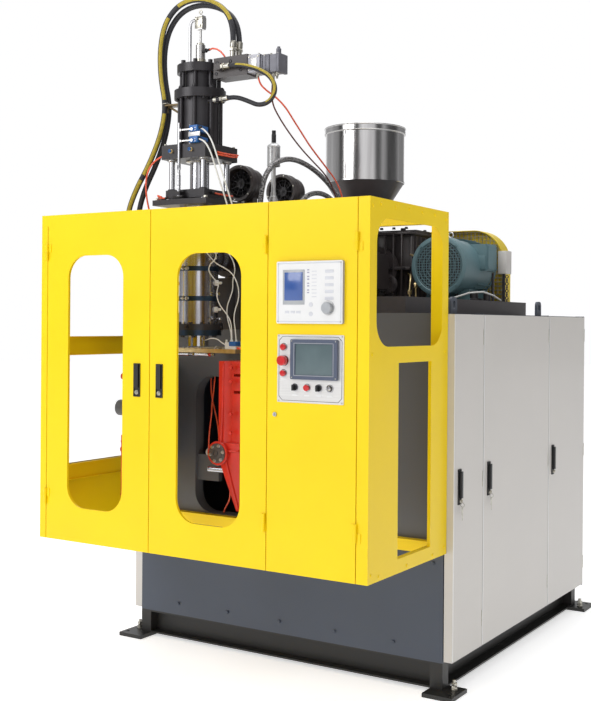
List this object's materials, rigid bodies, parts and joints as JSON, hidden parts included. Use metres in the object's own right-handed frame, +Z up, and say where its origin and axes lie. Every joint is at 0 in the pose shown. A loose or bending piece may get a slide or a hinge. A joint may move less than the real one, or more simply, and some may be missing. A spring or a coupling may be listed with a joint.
{
  "type": "blow moulding machine",
  "caption": "Free-standing blow moulding machine with accumulator head, two-platen clamp in a yellow guard, belt-driven extruder and hopper on a cabinet base.",
  "frame": {"origin": "on the floor, at the centre of the four anchor holes in the foot plates", "axes": "+X to the operator's right, +Y from the operator to the back of the machine, +Z up"},
  "size_m": [1.834, 2.591, 3.0703],
  "materials": {
    "guard_yellow": "satin",
    "body_blue": "satin",
    "base_black": "satin",
    "cover_grey": "satin",
    "drive_dark": "satin",
    "head_dark": "satin",
    "plate_metal": "brushed",
    "black_plastic": "matte",
    "chrome": "polished",
    "panel_grey": "matte",
    "knob_grey": "matte",
    "screen_dark": "gloss",
    "button_red": "gloss",
    "clamp_red": "gloss",
    "stainless": "polished",
    "brass": "satin",
    "steel": "machined",
    "motor_teal": "satin",
    "rubber_black": "matte",
    "tube_orange": "gloss",
    "cable_white": "matte",
    "conduit_grey": "braided"
  },
  "bodies": {
    "machine": {"air_filter": "plate_metal", "air_tubes": "tube_orange", "base_frame": "base_black", "belt_guard": "guard_yellow", "blower_housings": "drive_dark", "body_housing": "body_blue", "clamp_brackets": "drive_dark", "conduits": "conduit_grey", "cutter_plate": "brass", "die_head": "stainless", "drive_belts": "rubber_black", "electrical_panel": "plate_metal", "extruder_barrel": "drive_dark", "extruder_base": "drive_dark", "gearbox": "drive_dark", "guard_frame": "guard_yellow", "head_frame": "head_dark", "heater_wires": "cable_white", "hopper": "stainless", "hydraulic_hoses": "rubber_black", "left_covers": "cover_grey", "motor": "motor_teal", "oil_unit": "body_blue", "ram_cylinder": "head_dark", "servo_block": "head_dark", "signal_cables": "tube_orange"},
    "guard_door_left": {"guard_door_left": "guard_yellow"},
    "guard_door_middle": {"guard_door_middle": "guard_yellow"},
    "control_door": {"control_door": "guard_yellow", "programmer_panel": "panel_grey", "operator_panel": "plate_metal", "operator_screen": "screen_dark"},
    "guard_handle_left": {"guard_handle_left": "black_plastic"},
    "guard_handle_right": {"guard_handle_right": "black_plastic"},
    "guard_lock": {"guard_lock": "chrome"},
    "cabinet_door_front": {"cabinet_door_front": "cover_grey"},
    "cabinet_door_middle": {"cabinet_door_middle": "cover_grey"},
    "cabinet_door_rear": {"cabinet_door_rear": "cover_grey"},
    "cabinet_handle_front": {"cabinet_handle_front": "black_plastic"},
    "cabinet_handle_middle": {"cabinet_handle_middle": "black_plastic"},
    "cabinet_handle_rear": {"cabinet_handle_rear": "black_plastic"},
    "programmer_knob": {"programmer_knob": "knob_grey"},
    "start_button": {"start_button": "button_red"},
    "emergency_stop": {"emergency_stop": "button_red"},
    "stop_button": {"stop_button": "button_red"},
    "mode_selector": {"mode_selector": "black_plastic"},
    "lamp_button": {"lamp_button": "button_red"},
    "heat_selector": {"heat_selector": "black_plastic"},
    "toggle_lever": {"toggle_lever": "chrome"},
    "platen_left": {"platen_left": "clamp_red"},
    "platen_right": {"platen_right": "clamp_red"},
    "ram": {"ram_rod": "chrome", "ram_crosshead": "head_dark"},
    "switch_lever_lower": {"switch_lever_lower": "chrome"},
    "switch_lever_upper": {"switch_lever_upper": "chrome"},
    "extruder_screw": {"extruder_screw": "steel"},
    "gearbox_pulley": {"gearbox_pulley": "drive_dark"},
    "motor_rotor": {"motor_rotor": "steel"},
    "blower_fan_front": {"blower_fan_front": "steel"},
    "blower_fan_rear": {"blower_fan_rear": "steel"}
  },
  "joints": [
    {"name": "left_door_swing", "type": "hinge", "parent": "machine", "child": "guard_door_left", "pos_m": [-0.813, -1.6, 1.34], "axis": [0, 0, -1], "range_deg": [0, 110]},
    {"name": "middle_door_swing", "type": "hinge", "parent": "machine", "child": "guard_door_middle", "pos_m": [0.382, -1.6, 1.34], "axis": [0, 0, 1], "range_deg": [0, 110]},
    {"name": "control_door_swing", "type": "hinge", "parent": "machine", "child": "control_door", "pos_m": [0.799, -1.6, 1.34], "axis": [0, 0, 1], "range_deg": [0, 110]},
    {"name": "left_handle_lift", "type": "hinge", "parent": "guard_door_left", "child": "guard_handle_left", "pos_m": [-0.28, -1.6, 1.408], "axis": [-1, 0, 0], "range_deg": [0, 35]},
    {"name": "right_handle_lift", "type": "hinge", "parent": "guard_door_middle", "child": "guard_handle_right", "pos_m": [-0.157, -1.6, 1.408], "axis": [-1, 0, 0], "range_deg": [0, 35]},
    {"name": "lock_turn", "type": "hinge", "parent": "control_door", "child": "guard_lock", "pos_m": [0.431, -1.593, 1.231], "axis": [0, 1, 0], "range_deg": [0, 90]},
    {"name": "knob_turn", "type": "hinge", "parent": "control_door", "child": "programmer_knob", "pos_m": [0.678, -1.613, 1.651], "axis": [0, -1, 0], "continuous": true},
    {"name": "start_press", "type": "slide", "parent": "control_door", "child": "start_button", "axis": [0, 1, 0], "range_m": [0, 0.004], "stiffness_N_per_m": 600},
    {"name": "stop_press", "type": "slide", "parent": "control_door", "child": "stop_button", "axis": [0, 1, 0], "range_m": [0, 0.004], "stiffness_N_per_m": 600},
    {"name": "lamp_press", "type": "slide", "parent": "control_door", "child": "lamp_button", "axis": [0, 1, 0], "range_m": [0, 0.004], "stiffness_N_per_m": 600},
    {"name": "emergency_press", "type": "slide", "parent": "control_door", "child": "emergency_stop", "axis": [0, 1, 0], "range_m": [0, 0.004], "stiffness_N_per_m": 900},
    {"name": "mode_turn", "type": "hinge", "parent": "control_door", "child": "mode_selector", "pos_m": [0.525, -1.603, 1.341], "axis": [0, -1, 0], "range_deg": [-45, 45]},
    {"name": "heat_turn", "type": "hinge", "parent": "control_door", "child": "heat_selector", "pos_m": [0.634, -1.603, 1.341], "axis": [0, -1, 0], "range_deg": [-45, 45]},
    {"name": "toggle_tilt", "type": "hinge", "parent": "control_door", "child": "toggle_lever", "pos_m": [0.684, -1.603, 1.341], "axis": [1, 0, 0], "range_deg": [-17, 17]},
    {"name": "left_platen_close", "type": "slide", "parent": "machine", "child": "platen_left", "axis": [1, 0, 0], "range_m": [0, 0.12]},
    {"name": "right_platen_close", "type": "slide", "parent": "machine", "child": "platen_right", "axis": [-1, 0, 0], "range_m": [0, 0.12]},
    {"name": "ram_lift", "type": "slide", "parent": "machine", "child": "ram", "axis": [0, 0, 1], "range_m": [0, 0.12]},
    {"name": "lower_switch_swing", "type": "hinge", "parent": "machine", "child": "switch_lever_lower", "pos_m": [-0.158, -1.385, 2.394], "axis": [0, 1, 0], "range_deg": [-20, 20], "stiffness_Nm_per_rad": 0.2},
    {"name": "upper_switch_swing", "type": "hinge", "parent": "machine", "child": "switch_lever_upper", "pos_m": [-0.158, -1.385, 2.443], "axis": [0, 1, 0], "range_deg": [-20, 20], "stiffness_Nm_per_rad": 0.2},
    {"name": "screw_turn", "type": "hinge", "parent": "machine", "child": "extruder_screw", "pos_m": [-0.22, 0, 1.89], "axis": [0, 1, 0], "continuous": true},
    {"name": "gearbox_input_turn", "type": "hinge", "parent": "machine", "child": "gearbox_pulley", "pos_m": [-0.1, 0, 1.985], "axis": [0, 1, 0], "continuous": true},
    {"name": "motor_turn", "type": "hinge", "parent": "machine", "child": "motor_rotor", "pos_m": [0.25, 0, 1.912], "axis": [0, 1, 0], "continuous": true},
    {"name": "front_fan_turn", "type": "hinge", "parent": "machine", "child": "blower_fan_front", "pos_m": [-0.22, 0, 2.257], "axis": [0, 1, 0], "continuous": true},
    {"name": "rear_fan_turn", "type": "hinge", "parent": "machine", "child": "blower_fan_rear", "pos_m": [-0.22, 0, 2.257], "axis": [0, 1, 0], "continuous": true},
    {"name": "front_cabinet_swing", "type": "hinge", "parent": "machine", "child": "cabinet_door_front", "pos_m": [0.875, -0.568, 0.888], "axis": [0, 0, 1], "range_deg": [0, 110]},
    {"name": "front_handle_lift", "type": "hinge", "parent": "cabinet_door_front", "child": "cabinet_handle_front", "pos_m": [0.887, -0.824, 0.953], "axis": [0, -1, 0], "range_deg": [0, 45]},
    {"name": "middle_cabinet_swing", "type": "hinge", "parent": "machine", "child": "cabinet_door_middle", "pos_m": [0.875, 0.297, 0.888], "axis": [0, 0, 1], "range_deg": [0, 110]},
    {"name": "middle_handle_lift", "type": "hinge", "parent": "cabinet_door_middle", "child": "cabinet_handle_middle", "pos_m": [0.887, -0.498, 0.953], "axis": [0, -1, 0], "range_deg": [0, 45]},
    {"name": "rear_cabinet_swing", "type": "hinge", "parent": "machine", "child": "cabinet_door_rear", "pos_m": [0.875, 0.878, 0.888], "axis": [0, 0, 1], "range_deg": [0, 110]},
    {"name": "rear_handle_lift", "type": "hinge", "parent": "cabinet_door_rear", "child": "cabinet_handle_rear", "pos_m": [0.887, 0.367, 0.953], "axis": [0, -1, 0], "range_deg": [0, 45]}
  ],
  "couplings": [
    {"joint": "right_platen_close", "follows": "left_platen_close", "ratio": 1},
    {"joint": "gearbox_input_turn", "follows": "motor_turn", "ratio": 0.57143},
    {"joint": "screw_turn", "follows": "motor_turn", "ratio": 0.045714}
  ]
}
